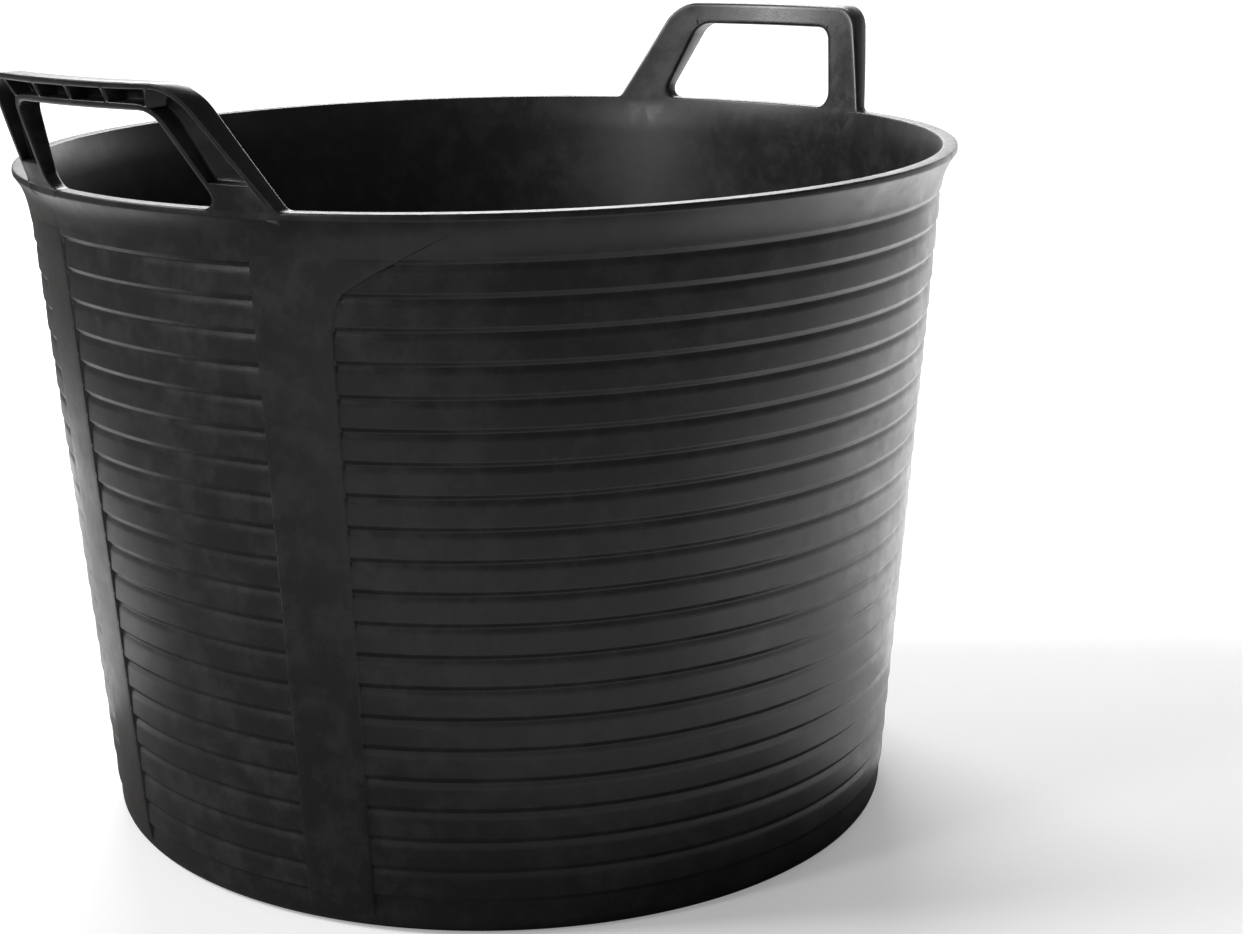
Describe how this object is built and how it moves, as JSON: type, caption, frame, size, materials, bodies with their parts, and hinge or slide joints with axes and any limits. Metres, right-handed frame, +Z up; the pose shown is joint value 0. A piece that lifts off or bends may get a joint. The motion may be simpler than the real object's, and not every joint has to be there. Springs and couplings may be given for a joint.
{
  "type": "flexible mixing tub",
  "caption": "Round flexible black rubber mixing tub with stepped walls, a flared rim and two loop handles with open channel grips.",
  "frame": {"origin": "centre of the base's standing face, on the ground", "axes": "+Z up, the handles on the X axis with the right handle at +X, the front at -Y"},
  "size_m": [0.5122, 0.46, 0.3797],
  "materials": {
    "tub_rubber": "satin black moulded rubber, faintly mottled",
    "handle_rubber": "satin black moulded rubber, slightly smoother from handling"
  },
  "bodies": {
    "tub": {"front_wall_panel": "tub_rubber", "rear_wall_panel": "tub_rubber", "left_wall_panel": "tub_rubber", "right_wall_panel": "tub_rubber", "tub_floor": "tub_rubber", "foot_ring": "tub_rubber", "base_corner": "tub_rubber", "rim_collar": "tub_rubber", "left_front_strip": "tub_rubber", "left_rear_strip": "tub_rubber", "right_front_strip": "tub_rubber", "right_rear_strip": "tub_rubber", "left_front_foot": "tub_rubber", "left_rear_foot": "tub_rubber", "right_front_foot": "tub_rubber", "right_rear_foot": "tub_rubber"},
    "left_handle": {"left_handle": "handle_rubber"},
    "right_handle": {"right_handle": "handle_rubber"}
  },
  "joints": [
    {"name": "left_handle_flex", "type": "hinge", "parent": "tub", "child": "left_handle", "pos_m": [-0.2215, 0, 0.338], "axis": [0, 1, 0], "range_deg": [-10, 30], "stiffness_Nm_per_rad": 6},
    {"name": "right_handle_flex", "type": "hinge", "parent": "tub", "child": "right_handle", "pos_m": [0.2215, 0, 0.338], "axis": [0, -1, 0], "range_deg": [-10, 30], "stiffness_Nm_per_rad": 6}
  ]
}
